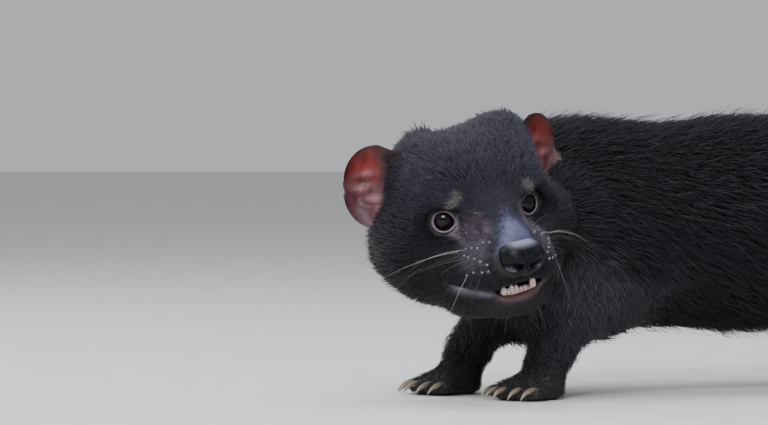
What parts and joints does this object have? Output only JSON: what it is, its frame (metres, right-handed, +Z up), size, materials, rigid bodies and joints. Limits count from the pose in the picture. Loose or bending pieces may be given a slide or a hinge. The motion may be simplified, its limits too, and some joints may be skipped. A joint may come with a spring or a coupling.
{
  "type": "tasmanian devil",
  "caption": "Still, life-size Tasmanian devil standing low on its feet with its head turned to its left, ears spread and mouth a little open.",
  "frame": {"origin": "middle of the model's outline on the floor", "axes": "+Z up; the hindquarters head along -Y and the tail points to +Y; +X is the animal's left, where the turned face looks"},
  "size_m": [0.296, 0.7646, 0.2066],
  "materials": {
    "coat": "short to medium coarse black fur with a faint bluish sheen",
    "nose_skin": "moist black pebbled nose pad",
    "ear_skin": "thin bare reddish-pink ear skin, dark haired behind",
    "eye": "wet dark brown eye",
    "foot_skin": "short dark hair on the feet, bare dark pads and horn claws"
  },
  "bodies": {
    "root": {"head": "coat", "lower_jaw": "coat", "nose": "nose_skin", "ear_left": "ear_skin", "ear_right": "ear_skin", "eye_left": "eye", "eye_right": "eye", "neck": "coat", "torso": "coat", "tail": "coat", "foreleg_left": "coat", "foreleg_right": "coat", "hindleg_left": "coat", "hindleg_right": "coat", "forefoot_left": "foot_skin", "forefoot_right": "foot_skin", "hindfoot_left": "foot_skin", "hindfoot_right": "foot_skin"}
  },
  "joints": []
}
